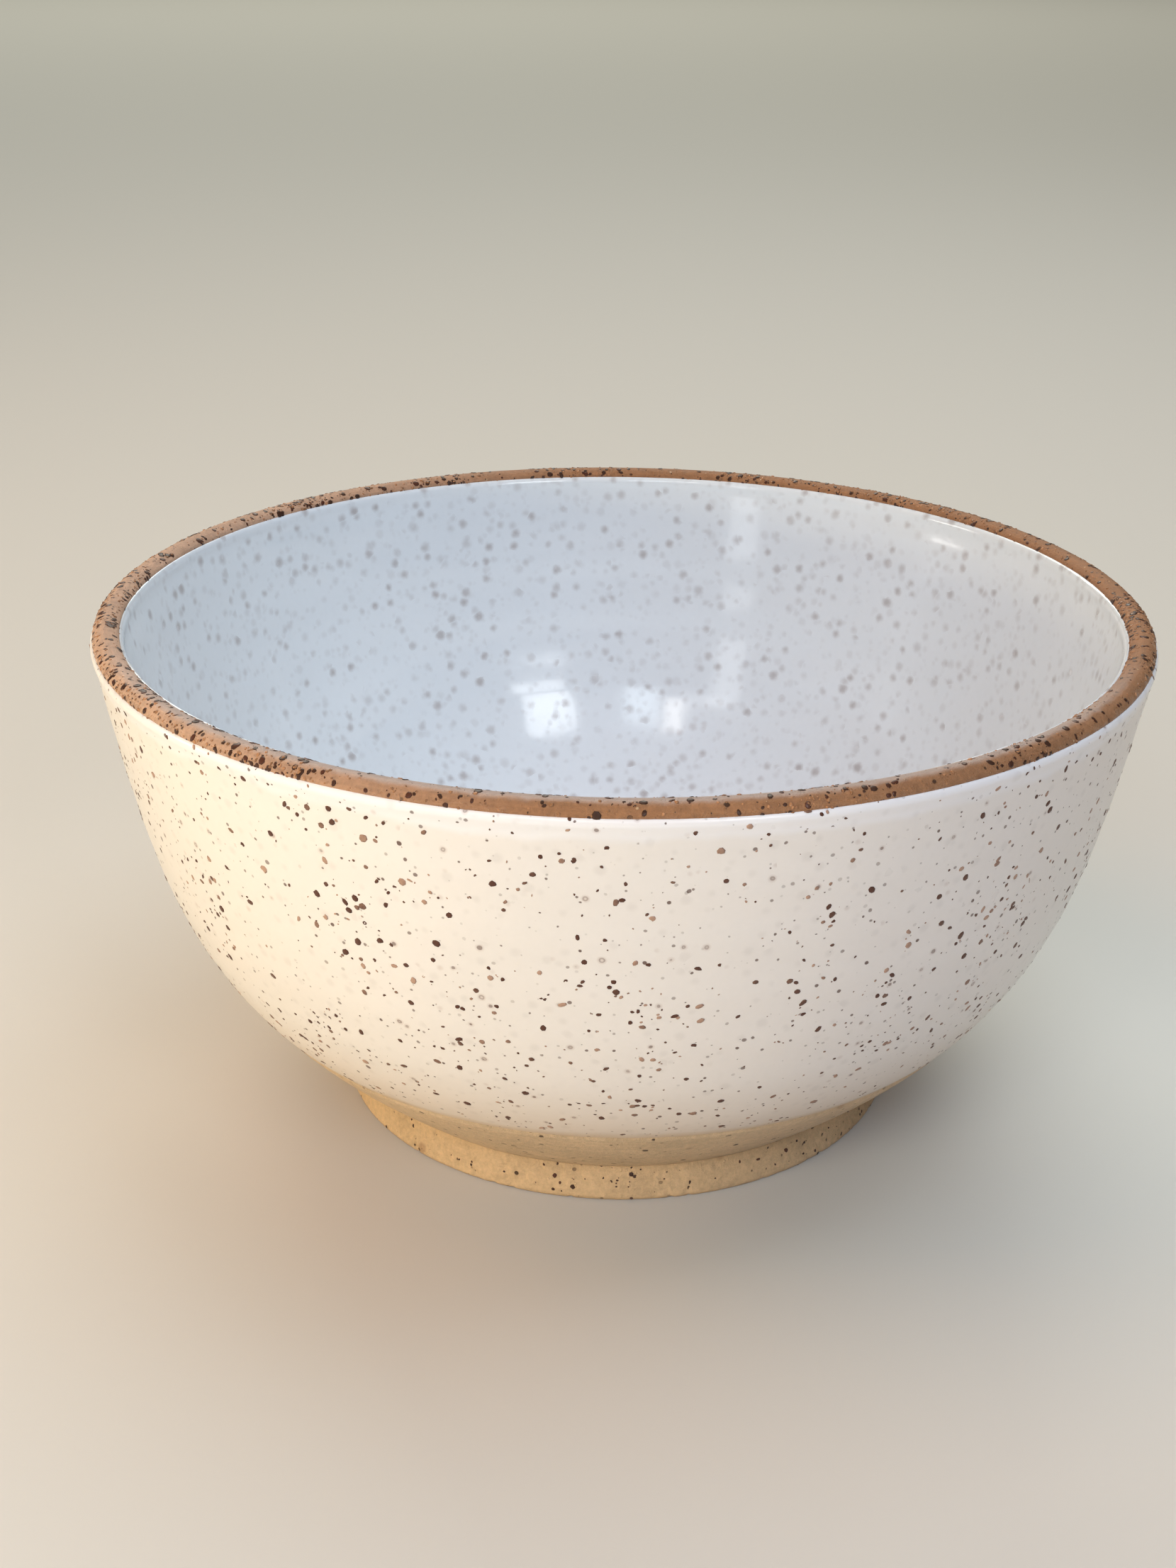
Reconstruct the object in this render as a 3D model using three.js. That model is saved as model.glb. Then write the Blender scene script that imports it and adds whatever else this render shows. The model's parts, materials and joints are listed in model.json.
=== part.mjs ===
// A wheel-thrown stoneware yarn bowl: one round clay body on a trimmed foot ring,
// with a coat of glaze inside and another outside. The lip, the underside and the
// foot ring are bare clay. Millimetres, +Z up, origin at the centre of the base.

import * as THREE from 'three';

// Overall sizes.
const RIM_DIAMETER = 160;
const HEIGHT = 80;
const FOOT_DIAMETER = 89;
const FOOT_HEIGHT = 5.6;

// The clay.
const LIP_THICKNESS = 4.6;
const WALL_THICKNESS_LOW = 6.4;
const FLOOR_THICKNESS = 6.6;
const FOOT_RING_WIDTH = 7.0;
const FOOT_EDGE_ROUND = 1.0;
const FOOT_FLARE = 0.6;

// The glaze. Each coat stops short of the top of the lip, by a drop of its own.
const GLAZE_THICKNESS = 0.6;
const OUTER_GLAZE_DROP = 1.5;
const INNER_GLAZE_DROP = 1.0;
const GLAZE_LINE_HEIGHT = 19.8;

// The gap kept between two pieces that touch.
const GAP = 0.3;

// The wall's curve: how far each end of it runs straight, and in which direction.
const RIM_LEAN = 10.7;
const RIM_RUN = 37;
const FOOT_RISE = 38.5;
const FOOT_RUN = 35;

// The inside leaves the wall's curve at this height above the floor, and sweeps to the centre.
const FLOOR_SWEEP_HEIGHT = 14;

// How finely each part of the profile, and its turn around the axis, is cut into flats.
const TURN_STEPS = 60;
const BARE_LIP_STEPS = 3;
const GLAZED_LIP_STEPS = 2;
const OUTSIDE_STEPS = 9;
const INSIDE_STEPS = 13;
const UNDERSIDE_STEPS = 3;
const EDGE_STEPS = 2;

const rimRadius = RIM_DIAMETER / 2;
const footRadius = FOOT_DIAMETER / 2;
const creaseRadius = footRadius - FOOT_FLARE;
const lipRadius = LIP_THICKNESS / 2;
const seatHeight = FOOT_HEIGHT + GAP;
const floorHeight = seatHeight + FLOOR_THICKNESS;
const rebate = GLAZE_THICKNESS + GAP;
const lipCentre = new THREE.Vector2(rimRadius - lipRadius, HEIGHT - lipRadius);

function along(degrees, length) {
  const angle = THREE.MathUtils.degToRad(degrees);
  return new THREE.Vector2(Math.cos(angle), Math.sin(angle)).multiplyScalar(length);
}

// The round lip, from its top down to where a side of the wall carries on from it. The
// inside ends straight across the wall from the outside.
function lipCurve(side) {
  const outerEnd = THREE.MathUtils.degToRad(-RIM_LEAN);
  const end = side === 'inside' ? Math.PI + outerEnd : outerEnd;
  return new THREE.EllipseCurve(lipCentre.x, lipCentre.y, lipRadius, lipRadius,
    Math.PI / 2, end, side === 'outside');
}

// The outside of the wall, from the lip down to the foot ring.
function wallCurve() {
  const top = lipCentre.clone().add(along(-RIM_LEAN, lipRadius));
  const bottom = new THREE.Vector2(creaseRadius, seatHeight);
  const underRim = top.clone().sub(along(90 - RIM_LEAN, RIM_RUN));
  const overFoot = bottom.clone().add(along(FOOT_RISE, FOOT_RUN));
  return new THREE.CubicBezierCurve(top, underRim, overFoot, bottom);
}

// The fraction of a falling curve's length at which it passes a height.
function fractionAt(curve, height) {
  let low = 0;
  let high = 1;
  while (high - low > 1e-6) {
    const middle = (low + high) / 2;
    if (curve.getPointAt(middle).y > height) low = middle;
    else high = middle;
  }
  return low;
}

// Points along part of a curve. Each is moved, to the right of the way the curve runs, by
// a distance that changes evenly from one end of the part to the other.
function shifted(curve, from, to, steps, distance, lastDistance = distance) {
  const points = [];
  for (let i = 0; i <= steps; i += 1) {
    const t = THREE.MathUtils.lerp(from, to, i / steps);
    const tangent = curve.getTangentAt(t);
    const right = new THREE.Vector2(tangent.y, -tangent.x);
    const move = THREE.MathUtils.lerp(distance, lastDistance, i / steps);
    points.push(curve.getPointAt(t).addScaledVector(right, move));
  }
  return points;
}

// The inside, from the lip down to the centre of the floor. It follows the outside at the
// wall's thickness, then sweeps across the floor in one curve.
function hollowCurve() {
  const wall = new THREE.SplineCurve(
    shifted(wallCurve(), 0, 1, 24, LIP_THICKNESS, WALL_THICKNESS_LOW));
  const leave = fractionAt(wall, floorHeight + FLOOR_SWEEP_HEIGHT);
  const start = wall.getPointAt(leave);
  const slope = wall.getTangentAt(leave);
  const corner = start.clone().addScaledVector(slope, (floorHeight - start.y) / slope.y);
  const path = new THREE.CurvePath();
  path.add(new THREE.SplineCurve(shifted(wall, 0, leave, 16, 0)));
  path.add(new THREE.QuadraticBezierCurve(start, corner, new THREE.Vector2(0, floorHeight)));
  return path;
}

const outsideLip = lipCurve('outside');
const insideLip = lipCurve('inside');
const outsideWall = wallCurve();
const insideWall = hollowCurve();

// Where the glaze starts on each side of the lip, and where the outer coat ends.
const outsideGlazeStart = fractionAt(outsideLip, HEIGHT - OUTER_GLAZE_DROP);
const insideGlazeStart = fractionAt(insideLip, HEIGHT - INNER_GLAZE_DROP);
const outsideGlazeEnd = fractionAt(outsideWall, GLAZE_LINE_HEIGHT);

// The outside under its glaze, at a depth from the finished surface. The margin lengthens
// it at both ends.
function outsideUnderGlaze(depth, margin) {
  const start = outsideGlazeStart - margin / outsideLip.getLength();
  const end = outsideGlazeEnd + margin / outsideWall.getLength();
  return [
    ...shifted(outsideLip, start, 1, GLAZED_LIP_STEPS, depth),
    ...shifted(outsideWall, 0, end, OUTSIDE_STEPS, depth).slice(1),
  ];
}

// The inside under its glaze, as far as the centre of the floor. The clay is on the other
// hand here, so the depth is negative.
function insideUnderGlaze(depth, margin) {
  const start = insideGlazeStart - margin / insideLip.getLength();
  const points = [
    ...shifted(insideLip, start, 1, GLAZED_LIP_STEPS, -depth),
    ...shifted(insideWall, 0, 1, INSIDE_STEPS, -depth).slice(1),
  ];
  points[points.length - 1].x = 0;
  return points;
}

// Turns a profile, listed so that the solid is on its left, around the bowl's axis.
function turned(name, profile, material) {
  const geometry = new THREE.LatheGeometry(profile, TURN_STEPS);
  geometry.rotateX(Math.PI / 2);
  const mesh = new THREE.Mesh(geometry, material);
  mesh.name = name;
  return mesh;
}

function clayBody() {
  const lipEnd = outsideGlazeStart - GAP / outsideLip.getLength();
  const underside = outsideGlazeEnd + GAP / outsideWall.getLength();
  const lipInsideEnd = insideGlazeStart - GAP / insideLip.getLength();
  const downTheOutside = [
    ...shifted(outsideLip, 0, lipEnd, BARE_LIP_STEPS, 0),
    ...outsideUnderGlaze(rebate, GAP),
    ...shifted(outsideWall, underside, 1, UNDERSIDE_STEPS, 0),
    new THREE.Vector2(0, seatHeight),
  ];
  const downTheInside = [
    ...shifted(insideLip, 0, lipInsideEnd, BARE_LIP_STEPS, 0).slice(1),
    ...insideUnderGlaze(rebate, GAP),
  ];
  const profile = [...downTheOutside.reverse(), ...downTheInside];
  return turned('clay_body', profile, new THREE.MeshStandardMaterial({
    color: 0xb98a5c, roughness: 0.85, metalness: 0,
  }));
}

function footRing() {
  const base = footRadius - FOOT_EDGE_ROUND;
  const inner = footRadius - FOOT_RING_WIDTH;
  const outerEdge = new THREE.EllipseCurve(base, FOOT_EDGE_ROUND, FOOT_EDGE_ROUND, FOOT_EDGE_ROUND,
    -Math.PI / 2, 0, false);
  const innerEdge = new THREE.EllipseCurve(inner + FOOT_EDGE_ROUND, FOOT_EDGE_ROUND,
    FOOT_EDGE_ROUND, FOOT_EDGE_ROUND, Math.PI, Math.PI * 1.5, false);
  const profile = [
    ...outerEdge.getPoints(EDGE_STEPS),
    new THREE.Vector2(creaseRadius, FOOT_HEIGHT),
    new THREE.Vector2(inner, FOOT_HEIGHT),
    ...innerEdge.getPoints(EDGE_STEPS),
  ];
  profile.push(profile[0].clone());
  return turned('foot_ring', profile, new THREE.MeshStandardMaterial({
    color: 0xc39b69, roughness: 0.9, metalness: 0,
  }));
}

function outerGlaze() {
  const face = outsideUnderGlaze(0, 0).reverse();
  const back = outsideUnderGlaze(GLAZE_THICKNESS, 0);
  return turned('outer_glaze', [...face, ...back, face[0].clone()], new THREE.MeshStandardMaterial({
    color: 0xe4dacb, roughness: 0.3, metalness: 0,
  }));
}

function innerGlaze() {
  const face = insideUnderGlaze(0, 0);
  const back = insideUnderGlaze(GLAZE_THICKNESS, 0).reverse();
  return turned('inner_glaze', [...back, ...face], new THREE.MeshStandardMaterial({
    color: 0xd5dadb, roughness: 0.12, metalness: 0,
  }));
}

const group = new THREE.Group();
group.add(clayBody(), footRing(), outerGlaze(), innerGlaze());

export default group;
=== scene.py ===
"""A stoneware yarn bowl: a wheel-thrown clay body on a trimmed foot ring, under two coats of
speckled glaze. Each piece is turned from its own profile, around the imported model."""

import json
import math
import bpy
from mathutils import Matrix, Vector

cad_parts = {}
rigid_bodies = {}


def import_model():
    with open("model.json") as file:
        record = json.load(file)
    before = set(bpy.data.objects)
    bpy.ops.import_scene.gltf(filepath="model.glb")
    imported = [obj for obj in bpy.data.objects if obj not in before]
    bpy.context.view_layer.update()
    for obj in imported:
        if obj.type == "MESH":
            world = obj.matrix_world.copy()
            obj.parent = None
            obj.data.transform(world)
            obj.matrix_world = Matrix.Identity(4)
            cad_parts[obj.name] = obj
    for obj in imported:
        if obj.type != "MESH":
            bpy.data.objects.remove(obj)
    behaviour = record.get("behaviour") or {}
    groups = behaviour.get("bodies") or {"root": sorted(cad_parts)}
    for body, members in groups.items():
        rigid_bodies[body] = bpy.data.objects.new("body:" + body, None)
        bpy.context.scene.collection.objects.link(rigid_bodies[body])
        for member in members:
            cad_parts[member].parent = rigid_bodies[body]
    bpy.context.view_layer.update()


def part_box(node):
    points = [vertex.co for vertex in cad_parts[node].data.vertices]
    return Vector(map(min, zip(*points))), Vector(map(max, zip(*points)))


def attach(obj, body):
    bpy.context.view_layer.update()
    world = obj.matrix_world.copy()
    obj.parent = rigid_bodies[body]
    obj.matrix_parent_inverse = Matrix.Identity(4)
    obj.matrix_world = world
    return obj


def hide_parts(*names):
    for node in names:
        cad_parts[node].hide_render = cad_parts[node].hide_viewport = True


bl_info = {
    "name": "Stoneware Yarn Bowl",
    "version": (1, 0, 0),
    "blender": (4, 5, 0),
    "location": "3D View > Sidebar > Yarn Bowl",
    "description": "Turns a speckled stoneware yarn bowl, glazes it and sets its stage",
    "category": "Add Mesh",
}

import bpy
import numpy as np
from bpy.props import FloatProperty, FloatVectorProperty, IntProperty, PointerProperty
from mathutils import Matrix, Vector

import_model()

MM = 0.001
CAD_COAT = 0.6 * MM

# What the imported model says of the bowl's sizes.
RIM_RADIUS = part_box("outer_glaze")[1].x
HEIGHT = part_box("clay_body")[1].z
SEAT_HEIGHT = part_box("clay_body")[0].z
FLOOR_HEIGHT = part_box("inner_glaze")[0].z + CAD_COAT
FOOT_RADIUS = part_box("foot_ring")[1].x
FOOT_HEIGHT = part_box("foot_ring")[1].z
GLAZE_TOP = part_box("outer_glaze")[1].z
GLAZE_TOP_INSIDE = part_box("inner_glaze")[1].z
GLAZE_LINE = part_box("outer_glaze")[0].z


def linear(red, green, blue):
    """A screen colour, each part from 0 to 255, as the linear colour that a shader takes."""
    parts = [value / 255 for value in (red, green, blue)]
    return tuple(p / 12.92 if p <= 0.04045 else ((p + 0.055) / 1.055) ** 2.4 for p in parts)


def length(name, description, default, **limits):
    return FloatProperty(
        name=name, description=description, default=default, unit="LENGTH", precision=5, **limits
    )


def angle(name, description, degrees):
    default = math.radians(degrees)
    return FloatProperty(name=name, description=description, default=default, unit="ROTATION")


def number(name, description, default):
    return FloatProperty(name=name, description=description, default=default, min=0)


def colour(name, description, default):
    return FloatVectorProperty(
        name=name, description=description, default=default, subtype="COLOR", min=0, max=1
    )


def share(name, description, default):
    return FloatProperty(
        name=name, description=description, default=default, min=0, max=1, subtype="FACTOR"
    )


# ---------------------------------------------------------------------------------------
# What a user would change
# ---------------------------------------------------------------------------------------


class BowlShape(bpy.types.PropertyGroup):
    """The profile that the wheel turns."""

    lip_thickness: length("Lip Thickness", "Across the round lip", 4.6 * MM)
    low_thickness: length("Low Thickness", "The wall's thickness where it meets the foot", 6.4 * MM)
    rim_lean: angle("Rim Lean", "How far the wall leans out under the lip", 10.7)
    rim_run: length("Rim Run", "How far the wall keeps its lean below the lip", 37 * MM)
    foot_rise: angle("Foot Rise", "How steeply the underside leaves the foot ring", 38.5)
    foot_run: length("Foot Run", "How far the underside keeps its rise above the foot", 35 * MM)
    floor_sweep: length("Floor Sweep", "Where the inside leaves the wall, above the floor", 14 * MM)
    foot_width: length("Foot Width", "Across the foot ring's base", 7 * MM)
    foot_flare: length("Foot Flare", "How far the foot ring spreads to its base", 0.6 * MM)
    coat: length("Coat", "The thickness of each coat of glaze", 0.4 * MM)
    out_of_round: length("Out Of Round", "How far the rim strays from a circle", 0.25 * MM)
    turn_steps: IntProperty(
        name="Turn Steps", description="Flats around the bowl", default=640, min=64, max=720
    )


class ClayFinish(bpy.types.PropertyGroup):
    """The bare clay of the lip, the underside and the foot ring."""

    lip: colour("Lip", "The toasted clay of the lip", linear(156, 110, 76))
    underside: colour("Underside", "The bare clay over the foot", linear(205, 176, 143))
    foot: colour("Foot", "The bare clay of the foot ring", linear(204, 168, 128))
    sand: colour("Sand", "The pale grains in the clay", linear(226, 188, 146))
    # Painted sheen: the lip is painted paler on its left side, standing in for the bright light
    # that falls on it there.
    painted_left_sheen: colour("Painted Left Sheen", "The paler clay of the lip's left side", linear(216, 178, 152))
    smear: colour("Smear", "The glaze smeared over the lip at the front", linear(196, 180, 172))
    iron: colour("Iron", "The iron specks in the clay", linear(62, 38, 26))
    rust: colour("Rust", "The stains round the larger specks", linear(120, 70, 42))
    roughness: share("Roughness", "The roughness of the bare clay", 0.62)


class GlazeFinish(bpy.types.PropertyGroup):
    """The two coats of glaze, and the iron specks that melt through them."""

    outer: colour("Outer", "The cream glaze outside", linear(226, 216, 210))
    inner: colour("Inner", "The pale glaze inside", linear(219, 222, 226))
    thin: colour("Thin", "The glaze where it is thin over the clay", linear(200, 168, 134))
    # Partly painted reflection: the whiter band under the lip is thick glaze, and also paints the
    # light that the curving glaze there mirrors.
    pooled_glaze_and_sheen: colour("Pooled Glaze And Sheen", "The thick glaze under the lip", linear(236, 232, 236))
    burnt: colour("Burnt", "The edge of the glaze at the lip", linear(140, 84, 52))
    faded: colour("Faded", "The palest specks outside", linear(172, 136, 116))
    iron: colour("Iron", "The specks outside", linear(80, 44, 30))
    soft_iron: colour("Soft Iron", "The specks under the glaze inside", linear(146, 130, 126))
    outer_roughness: share("Outer Roughness", "The satin glaze outside", 0.3)
    inner_roughness: share("Inner Roughness", "The glossy glaze inside", 0.12)
    specks: number("Specks", "Raised specks to the square metre outside", 120000)


class BowlStage(bpy.types.PropertyGroup):
    """The camera, the floor and the lights."""

    distance: length("Distance", "From the bowl's axis to the camera", 311.7 * MM)
    height: length("Height", "The camera's height above the floor", 182.1 * MM)
    pitch: angle("Pitch", "How far the camera looks down", 23.16)
    yaw: angle("Yaw", "How far the camera looks to the left", 0.93)
    roll: angle("Roll", "How far the camera is turned about its view", 0.38)
    lens: number("Lens", "The camera's lens, in millimetres", 48.8)
    sun: number("Sun", "The low warm light on the left, in watts", 2.8)
    front: number("Front Light", "The light over the camera, in watts", 3.2)
    overhead: number("Overhead", "The wide light overhead, in watts", 8.2)
    glow: number("Glow", "The warm light high on the left, in watts", 2.3)
    behind: number("Behind", "The wide light far behind the bowl, in watts", 98.0)
    window: number("Window", "The widest pane of the window, in watts", 0.7)
    sky: number("Sky", "The strength of the light from all round", 0.03)
    floor: colour("Floor", "The plain floor", linear(206, 199, 190))


class YarnBowlSettings(bpy.types.PropertyGroup):
    shape: PointerProperty(type=BowlShape)
    clay: PointerProperty(type=ClayFinish)
    glaze: PointerProperty(type=GlazeFinish)
    stage: PointerProperty(type=BowlStage)


# ---------------------------------------------------------------------------------------
# Profiles: arrays of (radius, height), with what is known of each point
# ---------------------------------------------------------------------------------------


class Side:
    """One finished side of the profile, from the top of the lip downwards: its points, the
    unit normals that point out of the clay, and the distance run so far."""

    def __init__(self, points, clay_on_right):
        run = np.concatenate([[0], np.cumsum(np.linalg.norm(np.diff(points, axis=0), axis=1))])
        tangents = np.gradient(points, run, axis=0)
        tangents /= np.linalg.norm(tangents, axis=1)[:, None]
        turn = 1 if clay_on_right else -1
        self.points = points
        self.normals = turn * np.stack([-tangents[:, 1], tangents[:, 0]], axis=1)
        self.run = run

    def at_height(self, height):
        """The distance run where the side falls past a height."""
        return float(np.interp(-height, -self.points[:, 1], self.run))

    @property
    def end(self):
        return float(self.run[-1])

    def stretch(self, start, end, count, lift=0.0):
        """Points from one distance to another, each lifted off the finished face. lift is a
        distance, or a function from the distances run to one lift each."""
        runs = np.linspace(start, end, count)
        return self.at(runs, lift(runs) if callable(lift) else np.full(count, lift))

    def at(self, runs, lifts):
        """The points at some distances run, each lifted off the finished face."""
        columns = [np.interp(runs, self.run, c) for c in (*self.points.T, *self.normals.T)]
        normals = np.stack(columns[2:], axis=1)
        normals /= np.linalg.norm(normals, axis=1)[:, None]
        return np.stack(columns[:2], axis=1) + normals * lifts[:, None]


def lip_arc(shape, start, end, count=60):
    radius = shape.lip_thickness / 2
    angles = np.linspace(start, end, count)
    centre = np.array([RIM_RADIUS - radius, HEIGHT - radius])
    return centre + radius * np.stack([np.cos(angles), np.sin(angles)], axis=1)


def outside(shape):
    """The outside, from the top of the lip down to the crease over the foot ring."""
    lip = lip_arc(shape, math.pi / 2, -shape.rim_lean)
    top = lip[-1]
    crease = np.array([FOOT_RADIUS - shape.foot_flare, SEAT_HEIGHT])
    lean = np.array([math.sin(shape.rim_lean), math.cos(shape.rim_lean)])
    rise = np.array([math.cos(shape.foot_rise), math.sin(shape.foot_rise)])
    under_rim = top - lean * shape.rim_run
    over_foot = crease + rise * shape.foot_run
    t = np.linspace(0, 1, 1200)[1:, None]
    back = 1 - t
    wall = back**3 * top + 3 * t * back**2 * under_rim + 3 * t**2 * back * over_foot + t**3 * crease
    return Side(np.concatenate([lip, wall]), clay_on_right=True)


def inside(shape):
    """The inside, from the top of the lip down to the middle of the floor. It follows the
    outside at the wall's thickness, then sweeps across the floor in one curve."""
    face = outside(shape)
    wall_start = face.at_height(lip_arc(shape, 0, -shape.rim_lean)[-1][1])
    span = face.end - wall_start

    def thickness(runs):
        low = (runs - wall_start) / span
        return -(shape.lip_thickness + (shape.low_thickness - shape.lip_thickness) * low)

    wall = face.stretch(wall_start, face.end, 900, thickness)
    wall = wall[wall[:, 1] > FLOOR_HEIGHT + shape.floor_sweep]
    slope = wall[-1] - wall[-8]
    corner = wall[-1] + slope * (FLOOR_HEIGHT - wall[-1][1]) / slope[1]
    t = np.linspace(0, 1, 500)[1:, None]
    sweep = (1 - t) ** 2 * wall[-1] + 2 * t * (1 - t) * corner + t**2 * np.array([0, FLOOR_HEIGHT])
    lip = lip_arc(shape, math.pi / 2, math.pi - shape.rim_lean)
    return Side(np.concatenate([lip[:-1], wall, sweep]), clay_on_right=False)


def joined(*runs):
    """One profile from several runs of (points, grain, rings) or (points, grain, rings,
    slide). grain and rings are the depths of the sandy grain and of the throwing rings, and
    slide is how far each point follows the waviness of a coat's edge."""
    points = np.concatenate([run[0] for run in runs])
    marks = {"grain": [], "rings": [], "slide": []}
    for run in runs:
        for label, value in zip(marks, (*run[1:], 0.0)):
            marks[label].append(np.broadcast_to(value, len(run[0])))
    return points, {label: np.concatenate(values) for label, values in marks.items()}


def coat_lift(side, start, end, coat):
    """How high a coat's face stands over a finished side. It rises out of the clay in a round
    roll at each end that stops on the side, and dips a little below the roll."""

    def lift(runs):
        from_start = runs - start
        from_end = end - runs if end < side.end - 1 * MM else np.full(len(runs), 1.0)
        nearest = np.minimum(from_start, from_end)
        edge = -coat * np.exp(-nearest / (0.22 * MM))
        roll = 0.15 * MM * np.exp(-(((from_start - 1.1 * MM) / (0.8 * MM)) ** 2))
        dip = -0.07 * MM * np.exp(-(((from_start - 3.1 * MM) / (0.7 * MM)) ** 2))
        thin = -0.3 * MM * np.exp(-((from_end / (2.6 * MM)) ** 2))
        return edge + roll + dip + thin

    return lift


# ---------------------------------------------------------------------------------------
# Node trees
# ---------------------------------------------------------------------------------------


class Nodes:
    """Adds nodes to a tree and links them. A value is a socket, a number, a vector or a
    colour."""

    def __init__(self, tree):
        self.tree = tree

    def add(self, kind, inputs=(), **settings):
        """A node of a kind. inputs is a dictionary from names or places to values."""
        node = self.tree.nodes.new(kind)
        for name, value in settings.items():
            setattr(node, name, value)
        for key, value in dict(inputs).items():
            self.put(node.inputs[key], value)
        return node

    def put(self, socket, value):
        if isinstance(value, bpy.types.NodeSocket):
            self.tree.links.new(value, socket)
        else:
            socket.default_value = value

    def maths(self, operation, *values):
        return self.add("ShaderNodeMath", enumerate(values), operation=operation).outputs[0]

    def vectors(self, operation, *values):
        inputs = dict(enumerate(values))
        if operation == "SCALE":
            inputs = {0: values[0], "Scale": values[1]}
        node = self.add("ShaderNodeVectorMath", inputs, operation=operation)
        return node.outputs["Value" if operation in ("LENGTH", "DOT_PRODUCT") else "Vector"]

    def total(self, *values):
        result = values[0]
        for value in values[1:]:
            result = self.maths("ADD", result, value)
        return result

    def product(self, *values):
        result = values[0]
        for value in values[1:]:
            result = self.maths("MULTIPLY", result, value)
        return result

    def swing(self, value, reach):
        """A value from 0 to 1, moved to swing about 0 and scaled by reach."""
        return self.product(self.maths("SUBTRACT", value, 0.5), reach)

    def split(self, vector):
        return self.add("ShaderNodeSeparateXYZ", {0: vector}).outputs

    def joined(self, x, y, z):
        return self.add("ShaderNodeCombineXYZ", {0: x, 1: y, 2: z}).outputs[0]

    def ramp(self, value, low, high, start=0.0, end=1.0):
        """A smooth step from start, where value is low, to end, where it is high."""
        inputs = {"Value": value, "From Min": low, "From Max": high, "To Min": start, "To Max": end}
        node = self.add("ShaderNodeMapRange", inputs, interpolation_type="SMOOTHSTEP")
        return node.outputs["Result"]

    def noise(self, vector, size, detail=2.0, roughness=0.5):
        """Noise from 0 to 1, whose lumps are about as far apart as size."""
        inputs = {"Vector": vector, "Scale": 1 / size, "Detail": detail, "Roughness": roughness}
        return self.add("ShaderNodeTexNoise", inputs).outputs[0]

    def warped(self, vector, size, distance):
        """The vector pushed about by noise, so that what it draws isn't round."""
        inputs = {"Vector": vector, "Scale": 1 / size, "Detail": 2.0}
        push = self.add("ShaderNodeTexNoise", inputs).outputs["Color"]
        centred = self.vectors("SUBTRACT", push, (0.5, 0.5, 0.5))
        return self.vectors("ADD", vector, self.vectors("SCALE", centred, 2 * distance))

    def mix(self, factor, first, second):
        node = self.add("ShaderNodeMix", {0: factor, 6: first, 7: second}, data_type="RGBA")
        return node.outputs[2]


def opaque(values):
    return (*values, 1.0)


# ---------------------------------------------------------------------------------------
# Geometry Nodes: the wheel, and the iron specks
# ---------------------------------------------------------------------------------------


def new_group(name, sockets):
    """A geometry tree with named inputs, given as (name, kind, default)."""
    tree = bpy.data.node_groups.new(name, "GeometryNodeTree")
    tree.interface.new_socket("Geometry", in_out="OUTPUT", socket_type="NodeSocketGeometry")
    tree.interface.new_socket("Geometry", in_out="INPUT", socket_type="NodeSocketGeometry")
    for label, kind, default in sockets:
        socket = tree.interface.new_socket(label, in_out="INPUT", socket_type="NodeSocket" + kind)
        if default is not None:
            socket.default_value = default
    return tree


def finish_group(nodes, geometry, material):
    realized = nodes.add("GeometryNodeRealizeInstances", {0: geometry}).outputs[0]
    coated = nodes.add("GeometryNodeSetMaterial", {"Geometry": realized, "Material": material})
    output = nodes.add("NodeGroupOutput")
    nodes.tree.links.new(coated.outputs[0], output.inputs[0])


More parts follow.
